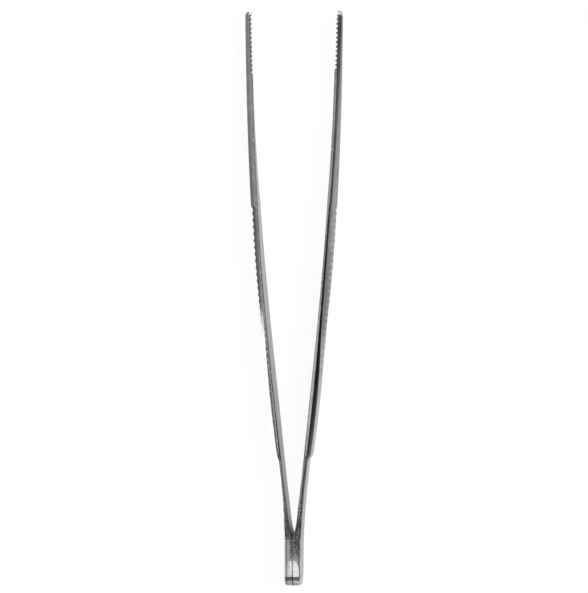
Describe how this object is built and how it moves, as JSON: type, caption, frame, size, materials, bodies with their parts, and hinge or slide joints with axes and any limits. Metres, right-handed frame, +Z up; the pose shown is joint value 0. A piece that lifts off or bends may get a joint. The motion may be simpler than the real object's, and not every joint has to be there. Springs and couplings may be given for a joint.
{
  "type": "thumb forceps",
  "caption": "Thumb forceps with two sprung arms joined at the heel, cross-ribbed grips and slender blades that end in serrated jaws.",
  "frame": {"origin": "on the surface that the forceps lie on, under the middle of their length and of their spread", "axes": "+Y along the forceps from the welded heel to the tips, +X across the spread from the left arm to the right arm, +Z up from the edges that they lie on"},
  "size_m": [0.0248, 0.145, 0.0106],
  "materials": {
    "steel": "satin ground stainless steel, polished on the heel's facet"
  },
  "bodies": {
    "root": {"left_arm": "steel", "right_arm": "steel"}
  },
  "joints": []
}
